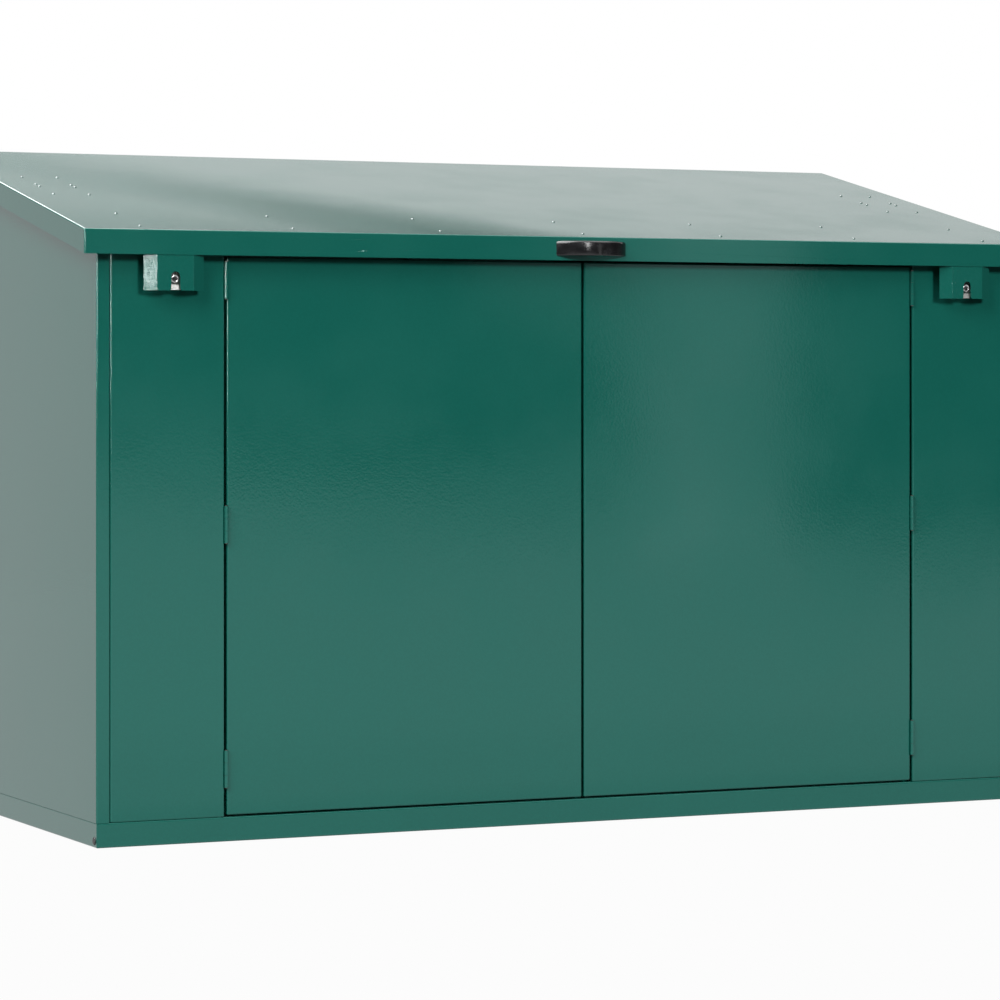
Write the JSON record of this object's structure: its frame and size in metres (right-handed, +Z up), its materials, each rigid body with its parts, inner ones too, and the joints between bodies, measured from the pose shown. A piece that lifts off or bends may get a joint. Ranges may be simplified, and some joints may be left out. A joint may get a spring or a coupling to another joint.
{
  "type": "metal garden shed",
  "caption": "Low sheet-metal store with a sloped lid hinged at the rear on gas struts, double front doors, locks under guards and a bow handle.",
  "frame": {"origin": "middle of the base's anchor holes, on the ground", "axes": "+X to the right seen from the front, +Y to the rear, +Z up"},
  "size_m": [2.03, 0.9315, 1.3073],
  "materials": {
    "green_paint": "satin powder coat",
    "galvanised_steel": "galvanised",
    "zinc_plate": "zinc plated",
    "lock_chrome": "polished",
    "rod_chrome": "ground and polished",
    "black_paint": "gloss paint",
    "black_plastic": "gloss",
    "rubber": "matt"
  },
  "bodies": {
    "cabinet": {"base_front_rail": "green_paint", "base_left_rail": "green_paint", "base_rear_rail": "green_paint", "base_right_rail": "green_paint", "corner_plugs": "black_plastic", "floor_left_panel": "galvanised_steel", "floor_right_panel": "galvanised_steel", "front_left_panel": "green_paint", "front_right_panel": "green_paint", "left_door_frame_leaves": "green_paint", "left_door_hinge_pins": "zinc_plate", "left_lock_case": "zinc_plate", "left_side_panel": "green_paint", "left_strut_foot": "galvanised_steel", "lid_buffers": "rubber", "lid_hinge_pins": "zinc_plate", "lid_hinge_wall_leaves": "green_paint", "lid_hinge_wall_rivets": "green_paint", "rear_left_panel": "green_paint", "rear_right_panel": "green_paint", "right_door_frame_leaves": "green_paint", "right_door_hinge_pins": "zinc_plate", "right_lock_case": "zinc_plate", "right_side_panel": "green_paint", "right_strut_foot": "galvanised_steel", "strut_foot_studs": "zinc_plate", "wall_bolts": "galvanised_steel"},
    "lid": {"lid_panel": "green_paint", "lid_front_stiffener": "green_paint", "lid_stiffener_rivets": "green_paint", "left_lid_arm": "green_paint", "right_lid_arm": "green_paint", "lid_arm_rivets": "green_paint", "left_lock_guard": "green_paint", "right_lock_guard": "green_paint", "lid_hinge_lid_leaves": "green_paint", "lid_hinge_lid_rivets": "green_paint", "lid_handle": "black_plastic", "handle_screws": "zinc_plate", "strut_stud_nuts": "zinc_plate"},
    "left_door": {"left_door_panel": "green_paint", "left_door_stiffener": "green_paint", "left_door_hinge_leaves": "green_paint"},
    "left_lock": {"left_lock_barrel": "lock_chrome", "left_lock_cam": "zinc_plate"},
    "left_strut_tube": {"left_strut_tube": "black_paint", "left_strut_lower_socket": "black_plastic"},
    "left_strut_rod": {"left_strut_rod": "rod_chrome", "left_strut_upper_socket": "black_plastic", "left_strut_stud": "zinc_plate"},
    "right_door": {"right_door_panel": "green_paint", "right_door_stiffener": "green_paint", "right_door_hinge_leaves": "green_paint"},
    "right_lock": {"right_lock_barrel": "lock_chrome", "right_lock_cam": "zinc_plate"},
    "right_strut_tube": {"right_strut_tube": "black_paint", "right_strut_lower_socket": "black_plastic"},
    "right_strut_rod": {"right_strut_rod": "rod_chrome", "right_strut_upper_socket": "black_plastic", "right_strut_stud": "zinc_plate"}
  },
  "joints": [
    {"name": "lid_hinge", "type": "hinge", "parent": "cabinet", "child": "lid", "pos_m": [0, 0.4325, 1.262], "axis": [-1, 0, 0], "range_deg": [0, 65]},
    {"name": "left_door_hinge", "type": "hinge", "parent": "cabinet", "child": "left_door", "pos_m": [-0.7304, -0.43, 0.56], "axis": [0, 0, -1], "range_deg": [0, 120]},
    {"name": "right_door_hinge", "type": "hinge", "parent": "cabinet", "child": "right_door", "pos_m": [0.7304, -0.43, 0.56], "axis": [0, 0, 1], "range_deg": [0, 120]},
    {"name": "left_lock_turn", "type": "hinge", "parent": "cabinet", "child": "left_lock", "pos_m": [-0.84, -0.445, 1.0305], "axis": [0, -1, 0], "range_deg": [0, 90]},
    {"name": "right_lock_turn", "type": "hinge", "parent": "cabinet", "child": "right_lock", "pos_m": [0.84, -0.445, 1.0305], "axis": [0, 1, 0], "range_deg": [0, 90]},
    {"name": "left_strut_swing", "type": "hinge", "parent": "cabinet", "child": "left_strut_tube", "pos_m": [-0.94, 0.373, 1.17], "axis": [-1, 0, 0], "range_deg": [0, 64.48]},
    {"name": "left_strut_slide", "type": "slide", "parent": "left_strut_tube", "child": "left_strut_rod", "axis": [0, -0.999, 0.0441], "range_m": [0, 0.11773]},
    {"name": "right_strut_swing", "type": "hinge", "parent": "cabinet", "child": "right_strut_tube", "pos_m": [0.94, 0.373, 1.17], "axis": [-1, 0, 0], "range_deg": [0, 64.48]},
    {"name": "right_strut_slide", "type": "slide", "parent": "right_strut_tube", "child": "right_strut_rod", "axis": [0, -0.999, 0.0441], "range_m": [0, 0.11773]}
  ],
  "couplings": [
    {"joint": "left_strut_swing", "follows": "lid_hinge", "ratio": 0.99187},
    {"joint": "left_strut_slide", "follows": "lid_hinge", "m_per_rad": 0.10373},
    {"joint": "right_strut_swing", "follows": "lid_hinge", "ratio": 0.99187},
    {"joint": "right_strut_slide", "follows": "lid_hinge", "m_per_rad": 0.10373}
  ]
}
